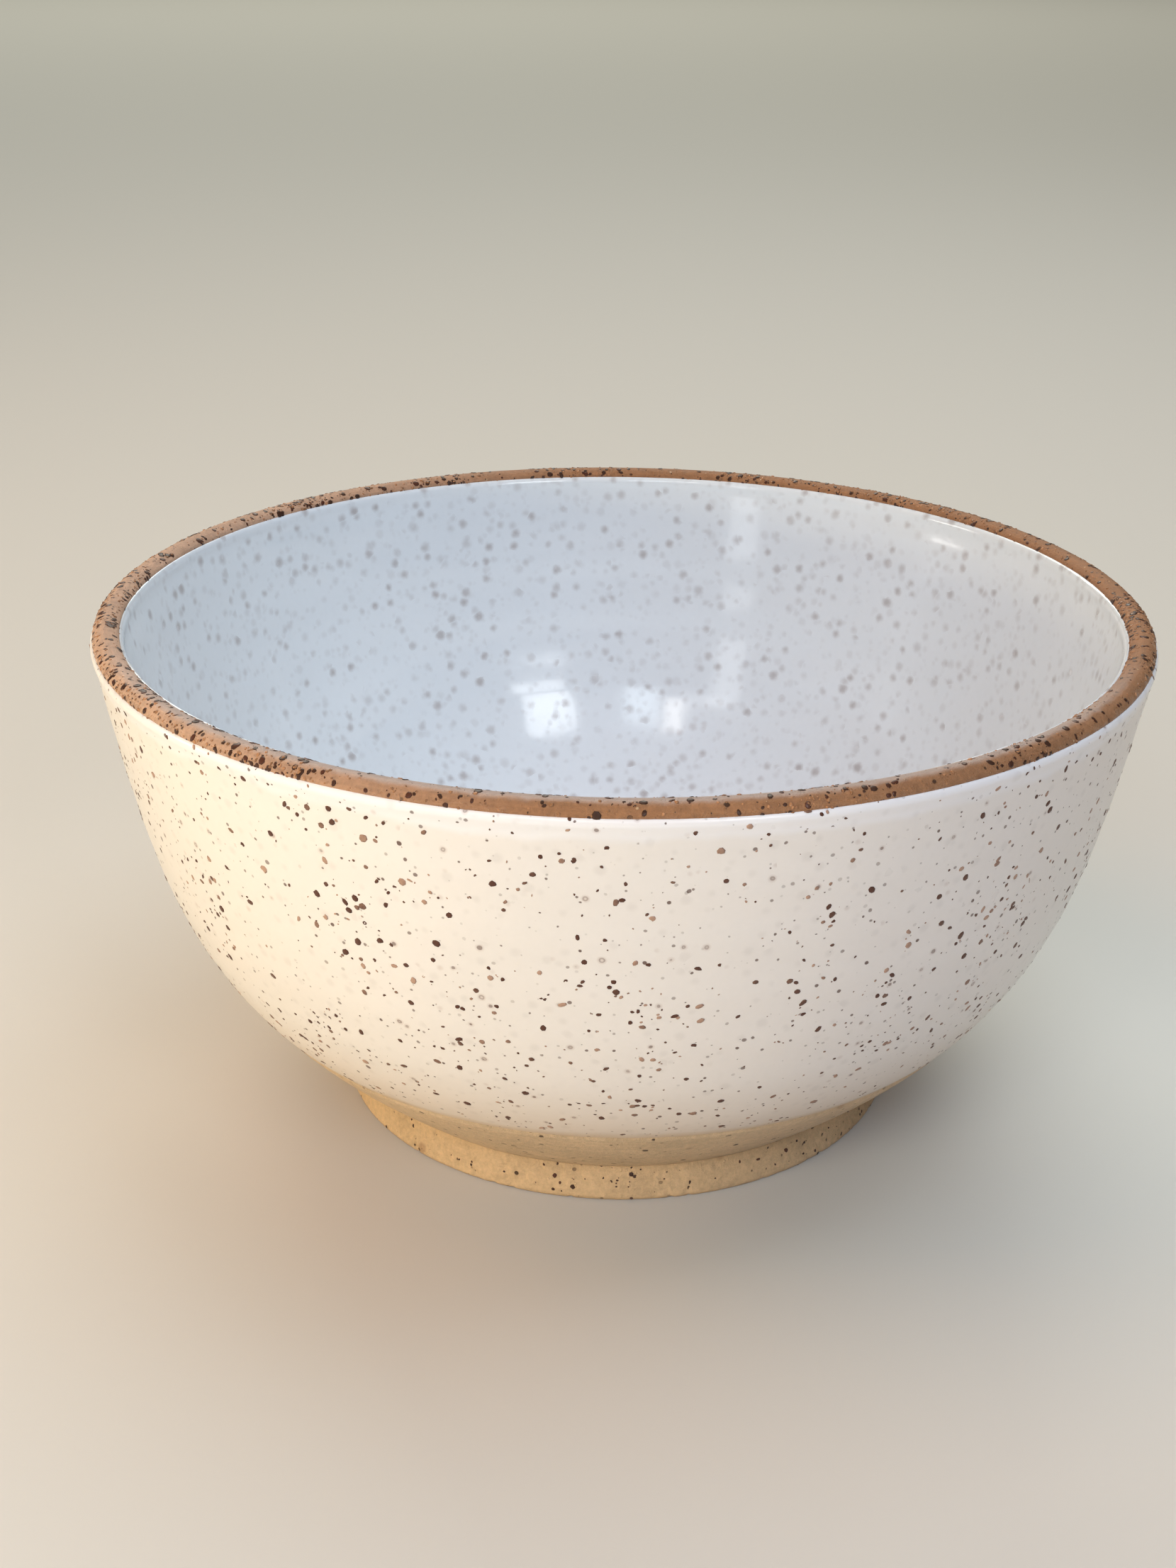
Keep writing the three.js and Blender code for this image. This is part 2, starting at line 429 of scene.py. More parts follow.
def wheel_tree():
    """Turns a profile, a chain of points in the XZ plane, around the Z axis, then cuts the
    marks of the hand into its face: throwing rings, sandy grain, trimming marks."""
    name = "Wheel"
    if name in bpy.data.node_groups:
        return bpy.data.node_groups[name]
    tree = new_group(name, [
        ("Turn Steps", "Int", 640),
        ("Profile Points", "Int", 100),
        ("Rim Height", "Float", HEIGHT),
        ("Out Of Round", "Float", 0.25 * MM),
        ("Ring Pitch", "Float", 7.5 * MM),
        ("Grain Size", "Float", 0.9 * MM),
        ("Trim Marks", "Float", 0.0),
        ("Trim Depth", "Float", 0.0),
        ("Edge Wave", "Float", 0.0),
        ("Front Climb", "Float", 0.0),
        ("Material", "Material", None),
    ])
    nodes = Nodes(tree)
    entry = nodes.add("NodeGroupInput").outputs
    steps = nodes.maths("ADD", entry["Turn Steps"], 1.0)
    grid = nodes.add("GeometryNodeMeshGrid", {
        "Size X": nodes.maths("SUBTRACT", entry["Profile Points"], 1.0),
        "Size Y": entry["Turn Steps"],
        "Vertices X": entry["Profile Points"],
        "Vertices Y": steps,
    }).outputs["Mesh"]

    # Which point of the profile, and which step of the turn, a vertex of the grid is.
    place = nodes.split(nodes.add("GeometryNodeInputPosition").outputs[0])
    half_points = nodes.product(nodes.maths("SUBTRACT", entry["Profile Points"], 1.0), 0.5)
    row = nodes.maths("ROUND", nodes.total(place[0], half_points))
    step = nodes.maths("ROUND", nodes.total(place[1], nodes.product(entry["Turn Steps"], 0.5)))
    angle = nodes.maths("DIVIDE", nodes.product(step, 2 * math.pi), entry["Turn Steps"])

    def sampled(kind, value):
        inputs = {"Geometry": entry["Geometry"], "Value": value, "Index": row}
        return nodes.add("GeometryNodeSampleIndex", inputs, data_type=kind).outputs[0]

    def kept(geometry, label):
        field = nodes.add("GeometryNodeInputNamedAttribute", {"Name": label}).outputs[0]
        inputs = {"Geometry": geometry, "Name": label, "Value": sampled("FLOAT", field)}
        return nodes.add("GeometryNodeStoreNamedAttribute", inputs).outputs[0]

    point = nodes.split(sampled("FLOAT_VECTOR", nodes.add("GeometryNodeInputPosition").outputs[0]))
    turned = nodes.joined(
        nodes.product(point[0], nodes.maths("COSINE", angle)),
        nodes.product(point[0], nodes.maths("SINE", angle)),
        point[2],
    )
    mesh = kept(kept(kept(grid, "grain"), "rings"), "slide")
    mesh = nodes.add("GeometryNodeSetPosition", {"Geometry": mesh, "Position": turned}).outputs[0]
    mesh = nodes.add("GeometryNodeMergeByDistance", {"Geometry": mesh, "Distance": 1e-6}).outputs[0]

    position = nodes.add("GeometryNodeInputPosition").outputs[0]
    normal = nodes.add("GeometryNodeInputNormal").outputs[0]
    x, y, z = nodes.split(position)
    around = nodes.maths("ARCTAN2", y, x)

    # The hand's pressure comes and goes, so each mark is deeper in some places.
    pressure = nodes.ramp(nodes.noise(position, 45 * MM), 0.3, 0.7, 0.4, 1.0)
    risen = nodes.maths("DIVIDE", nodes.product(z, 2 * math.pi), entry["Ring Pitch"])
    spiral = nodes.total(risen, around)
    depth = nodes.add("GeometryNodeInputNamedAttribute", {"Name": "rings"}).outputs[0]
    rings = nodes.product(nodes.maths("SINE", spiral), depth, pressure)

    grain_depth = nodes.add("GeometryNodeInputNamedAttribute", {"Name": "grain"}).outputs[0]
    fine = nodes.add("ShaderNodeTexNoise", {
        "Vector": position, "Scale": nodes.maths("DIVIDE", 1.0, entry["Grain Size"]), "Detail": 3.0,
    }).outputs[0]
    slow = nodes.noise(position, 6 * MM)
    uneven = nodes.total(nodes.product(fine, 2.0), nodes.product(slow, 1.2), -1.6)
    grain = nodes.product(uneven, grain_depth)

    # Trimming marks slant across the foot ring, and the tool skips between them.
    slant = nodes.total(
        nodes.product(around, entry["Trim Marks"]),
        nodes.product(z, 900.0),
        nodes.product(nodes.noise(position, 9 * MM), 5.0),
    )
    crest = nodes.maths("POWER", nodes.maths("MAXIMUM", nodes.maths("SINE", slant), 0.0), 3.0)
    skip = nodes.ramp(nodes.noise(position, 5 * MM), 0.45, 0.6)
    trims = nodes.product(crest, skip, entry["Trim Depth"])

    two = nodes.maths("COSINE", nodes.total(nodes.product(around, 2.0), 1.1))
    three = nodes.maths("COSINE", nodes.total(nodes.product(around, 3.0), 0.4))
    oval = nodes.product(
        nodes.total(nodes.product(two, 0.7), nodes.product(three, 0.3)),
        entry["Out Of Round"],
        nodes.maths("DIVIDE", z, entry["Rim Height"]),
    )
    outwards = nodes.vectors("NORMALIZE", nodes.joined(x, y, 0.0))
    pressed = nodes.vectors(
        "ADD",
        nodes.vectors("SCALE", normal, nodes.total(rings, grain, trims)),
        nodes.vectors("SCALE", outwards, oval),
    )

    # A coat's edge wanders up and down the profile, and climbs the lip towards the front.
    climb = nodes.product(nodes.ramp(y, 0.02, -0.07), entry["Front Climb"])
    wave = nodes.noise(position, 13 * MM, 3.0)
    wander = nodes.product(nodes.swing(wave, 2.0), entry["Edge Wave"])
    follow = nodes.add("GeometryNodeInputNamedAttribute", {"Name": "slide"}).outputs[0]
    slide = nodes.product(nodes.total(climb, wander), follow)
    uphill = nodes.vectors("CROSS_PRODUCT", nodes.joined(nodes.product(y, -1.0), x, 0.0), normal)
    slid = nodes.vectors("SCALE", nodes.vectors("NORMALIZE", uphill), slide)
    moved = nodes.vectors("ADD", pressed, slid)
    mesh = nodes.add("GeometryNodeSetPosition", {"Geometry": mesh, "Offset": moved}).outputs[0]
    mesh = nodes.add("GeometryNodeSetShadeSmooth", {"Geometry": mesh}).outputs[0]
    finish_group(nodes, mesh, entry["Material"])
    return tree


def speck_tree():
    """Scatters specks of melted iron over a surface: low round blisters, half sunk in it."""
    name = "Iron Specks"
    if name in bpy.data.node_groups:
        return bpy.data.node_groups[name]
    tree = new_group(name, [
        ("Density", "Float", 20000.0),
        ("Lowest", "Float", 0.0),
        ("Highest", "Float", 1.0),
        ("Smallest", "Float", 0.1 * MM),
        ("Largest", "Float", 0.4 * MM),
        ("Raggedness", "Float", 0.25 * MM),
        ("Sides", "Int", 7),
        ("Relief", "Float", 0.15),
        ("Seed", "Int", 1),
        ("Material", "Material", None),
    ])
    nodes = Nodes(tree)
    entry = nodes.add("NodeGroupInput").outputs
    position = nodes.add("GeometryNodeInputPosition").outputs[0]
    height = nodes.split(position)[2]
    high_enough = nodes.maths("GREATER_THAN", height, entry["Lowest"])
    low_enough = nodes.maths("LESS_THAN", height, entry["Highest"])
    grain = nodes.add("GeometryNodeInputNamedAttribute", {"Name": "grain"}).outputs[0]
    shown = nodes.maths("GREATER_THAN", grain, 0.001 * MM)
    patches = nodes.ramp(nodes.noise(position, 14 * MM, 3.0), 0.35, 0.68, 0.25, 2.0)
    density = nodes.product(entry["Density"], high_enough, low_enough, shown, patches)
    points = nodes.add("GeometryNodeDistributePointsOnFaces", {
        "Mesh": entry["Geometry"], "Density": density, "Seed": entry["Seed"],
    }).outputs
    blister = nodes.add("GeometryNodeMeshUVSphere", {
        "Segments": entry["Sides"], "Rings": 4, "Radius": 1.0,
    }).outputs["Mesh"]

    def drawn(low, high, seed):
        inputs = {2: low, 3: high, "Seed": seed}
        return nodes.add("FunctionNodeRandomValue", inputs, data_type="FLOAT").outputs[1]

    # Most specks are small: a power of the draw picks the size.
    draw = nodes.maths("POWER", drawn(0.0, 1.0, 5), 2.2)
    span = nodes.maths("SUBTRACT", entry["Largest"], entry["Smallest"])
    radius = nodes.total(entry["Smallest"], nodes.product(span, draw))
    scale = nodes.joined(
        nodes.product(radius, drawn(0.65, 1.3, 6)),
        nodes.product(radius, drawn(0.65, 1.3, 7)),
        nodes.product(radius, entry["Relief"]),
    )
    spun = nodes.add("FunctionNodeRotateRotation", {
        "Rotation": points["Rotation"],
        "Rotate By": nodes.joined(0.0, 0.0, drawn(0.0, 2 * math.pi, 8)),
    }, rotation_space="LOCAL").outputs[0]
    scattered = nodes.add("GeometryNodeInstanceOnPoints", {
        "Points": points["Points"], "Instance": blister, "Rotation": spun, "Scale": scale,
    }).outputs[0]
    tinted = nodes.add("GeometryNodeStoreNamedAttribute", {
        "Geometry": scattered, "Name": "tint", "Value": drawn(0.0, 1.0, 9),
    }, domain="INSTANCE").outputs[0]
    real = nodes.add("GeometryNodeRealizeInstances", {0: tinted}).outputs[0]

    # Melted iron runs, so no speck stays round.
    push = nodes.add("ShaderNodeTexNoise", {
        "Vector": nodes.add("GeometryNodeInputPosition").outputs[0],
        "Scale": 1 / (0.5 * MM),
        "Detail": 2.0,
    }).outputs["Color"]
    centred = nodes.vectors("SUBTRACT", push, (0.5, 0.5, 0.5))
    offset = nodes.vectors("SCALE", centred, entry["Raggedness"])
    ragged = nodes.add("GeometryNodeSetPosition", {"Geometry": real, "Offset": offset}).outputs[0]
    smooth = nodes.add("GeometryNodeSetShadeSmooth", {0: ragged}).outputs[0]
    finish_group(nodes, smooth, entry["Material"])
    return tree


def apply_tree(item, tree, values):
    """Runs a geometry tree on an object with these named inputs, and keeps the result as a
    plain mesh."""
    modifier = item.modifiers.new(tree.name, "NODES")
    modifier.node_group = tree
    sockets = {s.name: s.identifier for s in tree.interface.items_tree if s.in_out == "INPUT"}
    for name, value in values.items():
        modifier[sockets[name]] = value
    depsgraph = bpy.context.evaluated_depsgraph_get()
    mesh = bpy.data.meshes.new_from_object(item.evaluated_get(depsgraph), depsgraph=depsgraph)
    item.modifiers.remove(modifier)
    if not mesh.polygons:
        raise RuntimeError(f"{tree.name} made no faces for {item.name}")
    item.data = mesh
    mesh.name = item.name
    return item


def new_item(name, mesh):
    item = bpy.data.objects.new(name, mesh)
    bpy.context.scene.collection.objects.link(item)
    return item


def titled(values):
    """Keyword values as inputs of a tree: ring_pitch is the input called Ring Pitch."""
    return {label.replace("_", " ").title(): value for label, value in values.items()}


def turn(name, profile, material, **values):
    """A piece turned from a profile, which is listed so that the solid is on its left."""
    points, marks = profile
    mesh = bpy.data.meshes.new(name)
    corners = [(radius, 0, height) for radius, height in points]
    mesh.from_pydata(corners, [(i, i + 1) for i in range(len(corners) - 1)], [])
    for label, depths in marks.items():
        mesh.attributes.new(label, "FLOAT", "POINT").data.foreach_set("value", depths)
    shape = bpy.context.scene.yarn_bowl.shape
    inputs = {
        "Turn Steps": shape.turn_steps,
        "Profile Points": len(points),
        "Rim Height": HEIGHT,
        "Out Of Round": shape.out_of_round,
        "Material": material,
        **titled(values),
    }
    item = apply_tree(new_item(name, mesh), wheel_tree(), inputs)
    item.data.materials.clear()
    item.data.materials.append(material)
    return item


# ---------------------------------------------------------------------------------------
# Materials
# ---------------------------------------------------------------------------------------


def new_material(name):
    """A material with a Principled shader, its nodes and the piece's own coordinates."""
    material = bpy.data.materials.new(name)
    material.use_nodes = True
    nodes = Nodes(material.node_tree)
    shader = material.node_tree.nodes["Principled BSDF"]
    coordinates = nodes.add("ShaderNodeTexCoord").outputs["Object"]
    return material, nodes, shader, coordinates


def specks(nodes, vector, cell, smallest, largest, share_filled, softness):
    """A mask of round specks, with a chance value for each and how far inside its edge a place
    is, in cells. There is one to a cell, in the share of cells that is filled. Sizes are
    radii."""
    cells = nodes.add("ShaderNodeTexVoronoi", {"Vector": vector, "Scale": 1 / cell}, feature="F1")
    chance = nodes.add("ShaderNodeSeparateColor", {0: cells.outputs["Color"]}).outputs
    small, span, soft = smallest / cell, (largest - smallest) / cell, softness / cell
    radius = nodes.total(nodes.product(nodes.maths("POWER", chance[0], 2.0), span), small)
    empty = nodes.maths("GREATER_THAN", chance[1], share_filled)
    inside_by = nodes.total(
        radius, nodes.product(cells.outputs["Distance"], -1.0), nodes.product(empty, -9.0)
    )
    return nodes.ramp(inside_by, -soft, soft), chance[2], inside_by


def clay_material(name, upper, lower, finish, wiped):
    """Bare stoneware. upper is its colour at the lip and lower its colour at the foot, and
    wiped is how strongly the sponge's lines show."""
    material, nodes, shader, place = new_material(name)
    x, y, z = nodes.split(place)
    radius = nodes.vectors("LENGTH", nodes.joined(x, y, 0.0))
    toasted = nodes.ramp(z, 0.35 * HEIGHT, 0.8 * HEIGHT)
    fired = nodes.mix(toasted, opaque(lower), opaque(upper))
    # Painted sheen: the lip's left side is painted paler, standing in for the bright light that
    # falls on it there.
    painted_left_sheen = nodes.product(nodes.ramp(x, 0.0, -0.07), toasted, 0.6)
    base = nodes.mix(painted_left_sheen, fired, opaque(finish.painted_left_sheen))

    # Sand, blotches, and lines that run round the bowl where it was wiped.
    sandy = nodes.noise(place, 0.9 * MM, 6.0, 0.75)
    blotch = nodes.noise(place, 9 * MM, 3.0)
    lines = nodes.add("ShaderNodeTexNoise", {
        "Vector": nodes.joined(
            nodes.product(radius, 1 / (0.4 * MM)),
            nodes.product(z, 1 / (0.4 * MM)),
            nodes.product(x, 70.0),
        ),
        "W": nodes.product(y, 70.0),
        "Scale": 1.0,
        "Detail": 2.0,
    }, noise_dimensions="4D").outputs[0]
    shade = nodes.total(
        nodes.swing(sandy, 0.95),
        nodes.swing(blotch, 0.4),
        nodes.swing(lines, wiped),
        1.0,
    )
    tinted = nodes.vectors("SCALE", base, shade)

    warped = nodes.warped(place, 0.8 * MM, 0.12 * MM)
    sand, _, _ = specks(nodes, warped, 1.1 * MM, 0.08 * MM, 0.22 * MM, 0.3, 0.05 * MM)
    iron, iron_chance, _ = specks(nodes, warped, 1.45 * MM, 0.1 * MM, 0.42 * MM, 0.42, 0.06 * MM)
    rust, _, _ = specks(nodes, warped, 4.2 * MM, 0.3 * MM, 1.0 * MM, 0.4, 0.35 * MM)
    grains = nodes.mix(nodes.product(sand, 0.55), tinted, opaque(finish.sand))
    halo = nodes.mix(nodes.product(rust, 0.34), grains, opaque(finish.rust))
    strength = nodes.ramp(iron_chance, 0.0, 1.0, 0.5, 0.95)
    spotted = nodes.mix(nodes.product(iron, strength), halo, opaque(finish.iron))

    # A thin smear of the inner glaze climbs over the lip at the front.
    frayed = nodes.total(radius, nodes.swing(nodes.noise(place, 2.5 * MM), 1 * MM))
    smear = nodes.product(
        nodes.ramp(frayed, RIM_RADIUS - 2.3 * MM, RIM_RADIUS - 1.1 * MM, 1.0, 0.0),
        nodes.ramp(y, -0.02, -0.055),
        toasted,
    )
    smeared = nodes.mix(nodes.product(smear, 0.6), spotted, opaque(finish.smear))
    nodes.put(shader.inputs["Base Color"], smeared)

    # A little glaze wiped off the outer edge of the lip leaves it shiny in places.
    wet = nodes.ramp(nodes.noise(place, 1.6 * MM, 3.0), 0.4, 0.55)
    outer_edge = nodes.ramp(radius, RIM_RADIUS - 1.1 * MM, RIM_RADIUS - 0.3 * MM)
    shiny = nodes.product(outer_edge, toasted, wet)
    roughness = nodes.total(
        finish.roughness,
        nodes.swing(sandy, 0.35),
        nodes.product(sand, -0.25),
        nodes.product(shiny, -0.45),
        nodes.product(smear, -0.3),
    )
    nodes.put(shader.inputs["Roughness"], roughness)
    relief = nodes.total(
        nodes.product(sandy, 1.2),
        nodes.product(lines, wiped),
        nodes.product(iron, -0.5),
        nodes.product(sand, 0.4),
    )
    bump = nodes.add("ShaderNodeBump", {"Height": relief, "Strength": 1.0, "Distance": 0.3 * MM})
    nodes.put(shader.inputs["Normal"], bump.outputs[0])
    return material


def glaze_material(name, base, iron, finish, roughness, muted):
    """Speckled glaze. muted is from 0, where specks melt through to the face, to 1, where
    they lie soft under a thick coat."""
    material, nodes, shader, place = new_material(name)
    z = nodes.split(place)[2]
    cloud = nodes.noise(place, 22 * MM, 3.0)
    fine = nodes.noise(place, 1.3 * MM, 4.0, 0.6)
    shade = nodes.total(
        nodes.swing(cloud, 0.07),
        nodes.swing(fine, 0.05),
        1.0,
    )
    clouded = nodes.vectors("SCALE", opaque(base)[:3], shade)

    # The coat thins to the clay's colour just above its lower edge.
    ragged = nodes.total(z, nodes.swing(nodes.noise(place, 12 * MM), 3 * MM))
    thin = nodes.maths(
        "MAXIMUM",
        nodes.ramp(ragged, GLAZE_LINE - 1 * MM, GLAZE_LINE + 5 * MM, 1.0, 0.0),
        nodes.ramp(ragged, GLAZE_LINE, GLAZE_LINE + 16 * MM, 0.36, 0.0),
    )
    body = nodes.mix(nodes.product(thin, 1.0 - muted), clouded, opaque(finish.thin))

    # It pools in a whiter band under the lip, and that band also holds a painted reflection of the
    # bright light above; it is burnt brown along its very edge.
    pooled_glaze_and_sheen = nodes.ramp(ragged, GLAZE_TOP - 3.6 * MM, GLAZE_TOP - 2.2 * MM)
    band = nodes.mix(nodes.product(pooled_glaze_and_sheen, 0.6 * (1 - muted)), body, opaque(finish.pooled_glaze_and_sheen))
    burnt = nodes.ramp(z, GLAZE_TOP - 0.22 * MM, GLAZE_TOP + 0.1 * MM)
    body = nodes.mix(nodes.product(burnt, 0.8 * (1 - muted)), band, opaque(finish.burnt))

    warped = nodes.warped(place, 0.9 * MM, 0.12 * MM + 0.16 * MM * muted)
    blur = 0.05 * MM + 0.5 * MM * muted
    grow = 1 + muted
    small, small_chance, _ = specks(
        nodes, warped, 1.2 * MM, 0.1 * MM, 0.3 * MM * grow, 0.55 - 0.3 * muted, blur
    )
    large_cell = 1.9 * MM + 0.5 * MM * muted
    large, large_chance, depth = specks(
        nodes, warped, large_cell, 0.26 * MM * grow, 0.42 * MM * grow, 0.2 + 0.4 * muted, blur
    )
    buried, _, _ = specks(nodes, warped, 2.1 * MM, 0.3 * MM, 0.8 * MM, 0.6, 0.4 * MM)
    deep = nodes.mix(nodes.product(buried, 0.08 + 0.06 * muted), body, opaque(iron))
    stained = nodes.maths("LESS_THAN", large_chance, 0.5)
    halo = nodes.product(nodes.ramp(depth, -0.2, 0.02), stained, 0.22 * (1 - muted))
    deep = nodes.mix(halo, deep, opaque(finish.burnt))
    small_strength = nodes.ramp(small_chance, 0.0, 1.0, 0.15 - 0.05 * muted, 0.85 - 0.6 * muted)
    dotted = nodes.mix(nodes.product(small, small_strength), deep, opaque(iron))

    # Some of the large specks have a paler middle, where the iron has boiled.
    hollow = nodes.maths("LESS_THAN", large_chance, 0.35)
    boiled = nodes.product(nodes.ramp(depth, 0.06, 0.16), hollow, 0.45 * (1 - muted))
    large_strength = nodes.ramp(large_chance, 0.0, 1.0, 0.4 - 0.2 * muted, 0.9 - 0.3 * muted)
    spotted = nodes.mix(
        nodes.maths("SUBTRACT", nodes.product(large, large_strength), boiled), dotted, opaque(iron)
    )
    nodes.put(shader.inputs["Base Color"], spotted)

    marks = nodes.total(small, large)
    rough = nodes.total(
        roughness,
        nodes.swing(nodes.noise(place, 3 * MM, 4.0), 0.12),
        nodes.product(marks, 0.12),
        nodes.product(thin, 0.3 * (1 - muted)),
    )
    nodes.put(shader.inputs["Roughness"], rough)
    skin = nodes.noise(place, 2.6 * MM, 2.0)
    relief = nodes.total(nodes.product(skin, 0.6), nodes.product(marks, -0.35 * (1 - 0.6 * muted)))
    bump = nodes.add("ShaderNodeBump", {"Height": relief, "Strength": 0.35, "Distance": 0.1 * MM})
    nodes.put(shader.inputs["Normal"], bump.outputs[0])
    shader.inputs["Coat Weight"].default_value = 0.25
    shader.inputs["Coat Roughness"].default_value = roughness / 2
    return material


def iron_material(name, dark, pale):
    """The melted iron of the raised specks. Each speck has a tint of its own, from dark to
    pale, where it is still under the glaze."""
    material, nodes, shader, place = new_material(name)
    tint = nodes.add("ShaderNodeAttribute", attribute_name="tint").outputs["Fac"]
    patch = nodes.noise(place, 0.4 * MM, 3.0)
    faded = nodes.product(nodes.maths("POWER", tint, 2.4), 1.1)
    fade = nodes.total(faded, nodes.product(patch, 0.5), -0.2)
    base = nodes.mix(nodes.ramp(fade, 0.0, 1.0), opaque(dark), opaque(pale))
    nodes.put(shader.inputs["Base Color"], base)
    nodes.put(shader.inputs["Roughness"], nodes.ramp(patch, 0.3, 0.7, 0.3, 0.55))
    bump = nodes.add("ShaderNodeBump", {"Height": patch, "Strength": 0.3, "Distance": 0.05 * MM})
    nodes.put(shader.inputs["Normal"], bump.outputs[0])
    return material


def sand_material(name, finish):
    """The sandy grains that stand out of the bare lip, each a little paler or darker."""
    material, nodes, shader, place = new_material(name)
    tint = nodes.add("ShaderNodeAttribute", attribute_name="tint").outputs["Fac"]
    shade = nodes.ramp(tint, 0.0, 1.0, 0.72, 1.3)
    nodes.put(shader.inputs["Base Color"], nodes.vectors("SCALE", tuple(finish.lip), shade))
    fine = nodes.noise(place, 0.3 * MM, 3.0)
    nodes.put(shader.inputs["Roughness"], nodes.ramp(fine, 0.3, 0.7, 0.15, 0.5))
    return material


# ---------------------------------------------------------------------------------------
# Operators: one for each piece or group of like pieces, and one for the stage
# ---------------------------------------------------------------------------------------


def fit(item, node):
    """Puts a finished piece in place of its CAD node."""
    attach(item, "root")
    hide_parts(node)


class YARNBOWL_OT_stage(bpy.types.Operator):
    """Sets the camera, the lights and a plain floor"""

    bl_idname = "yarnbowl.stage"
    bl_label = "Set the Stage"

    def execute(self, context):
        stage = context.scene.yarn_bowl.stage
        place_camera(context.scene, stage)
        lay_floor(stage)
        hang_lights(context.scene, stage)
        return {"FINISHED"}


def place_camera(scene, stage):
    data = bpy.data.cameras.new("camera")
    data.lens = stage.lens
    data.clip_start = 0.01
    camera = new_item("camera", data)
    aim = (
        Matrix.Rotation(stage.yaw, 4, "Z")
        @ Matrix.Rotation(math.pi / 2 - stage.pitch, 4, "X")
        @ Matrix.Rotation(stage.roll, 4, "Z")
    )
    camera.matrix_world = Matrix.Translation((0, -stage.distance, stage.height)) @ aim
    scene.camera = camera


def lay_floor(stage):
    half = 6.0
    mesh = bpy.data.meshes.new("floor")
    corners = [(-half, -half, 0), (half, -half, 0), (half, half, 0), (-half, half, 0)]
    mesh.from_pydata(corners, [], [(0, 1, 2, 3)])
    floor = new_item("floor", mesh)
    material = bpy.data.materials.new("plain_floor")
    material.use_nodes = True
    shader = material.node_tree.nodes["Principled BSDF"]
    shader.inputs["Base Color"].default_value = opaque(stage.floor)
    shader.inputs["Roughness"].default_value = 0.7
    mesh.materials.append(material)


def hang_light(name, place, size, watts, tint, mirrored):
    data = bpy.data.lights.new(name, "AREA")
    data.shape = "RECTANGLE"
    data.size, data.size_y = size
    data.energy = watts
    data.color = tint
    light = new_item(name, data)
    light.location = place
    aim = Vector((0, 0, HEIGHT / 2)) - Vector(place)
    light.rotation_euler = aim.to_track_quat("-Z", "Y").to_euler()
    light.visible_glossy = mirrored


def hang_lights(scene, stage):
    world = bpy.data.worlds.new("soft_sky")
    world.use_nodes = True
    background = world.node_tree.nodes["Background"]
    background.inputs["Color"].default_value = (0.93, 0.95, 1.0, 1.0)
    background.inputs["Strength"].default_value = stage.sky
    scene.world = world
    scene.view_settings.view_transform = "Standard"

    # The big lights shape the bowl. Those that the glaze would mirror as plain squares are
    # kept out of it. Then come the panes of a window, its frame and the sun on the left,
    # which the glossy inside does mirror.
    daylight, blue, white = (0.9, 0.96, 1.0), (0.75, 0.9, 1.0), (1.0, 0.98, 0.95)
    sun, pane = stage.sun, stage.window
    for light in (
        ("sun", (-0.56, -0.42, 0.07), (0.3, 0.12), sun, (1.0, 0.88, 0.54), False),
        ("sun_bounce", (-0.75, -0.05, 0.45), (0.4, 0.4), 0.28 * sun, (1.0, 0.76, 0.2), False),
        ("front_light", (-0.1, -0.8, 0.6), (0.5, 0.3), stage.front, (0.63, 0.78, 1.0), False),
        ("overhead", (0.35, 0.2, 1.15), (1.0, 1.0), stage.overhead, (0.82, 0.93, 1.0), False),
        ("glow", (-0.55, -0.1, 0.95), (0.6, 0.6), stage.glow, (1.0, 0.4, 0.08), False),
        ("behind", (-0.6, 3.6, 2.6), (3.6, 2.1), stage.behind, (0.96, 1.0, 0.9), True),
        ("upper_pane", (0.285, -0.59, 0.335), (0.19, 0.055), 0.3 * pane, daylight, True),
        ("lower_pane", (0.245, -0.545, 0.45), (0.18, 0.17), pane, daylight, True),
        ("middle_pane", (-0.08, -0.6, 0.435), (0.12, 0.17), 0.42 * pane, blue, True),
        ("left_pane", (-0.19, -0.555, 0.47), (0.065, 0.11), 0.22 * pane, white, True),
        ("doorway", (-0.37, -0.56, 0.28), (0.1, 0.33), 0.36 * pane, daylight, True),
        ("sill", (-0.295, -0.54, 0.41), (0.17, 0.08), 0.09 * pane, daylight, True),
        ("sun_glint", (-0.705, 0.03, 0.17), (0.16, 0.12), 0.6 * pane, white, True),
    ):
        hang_light(*light)


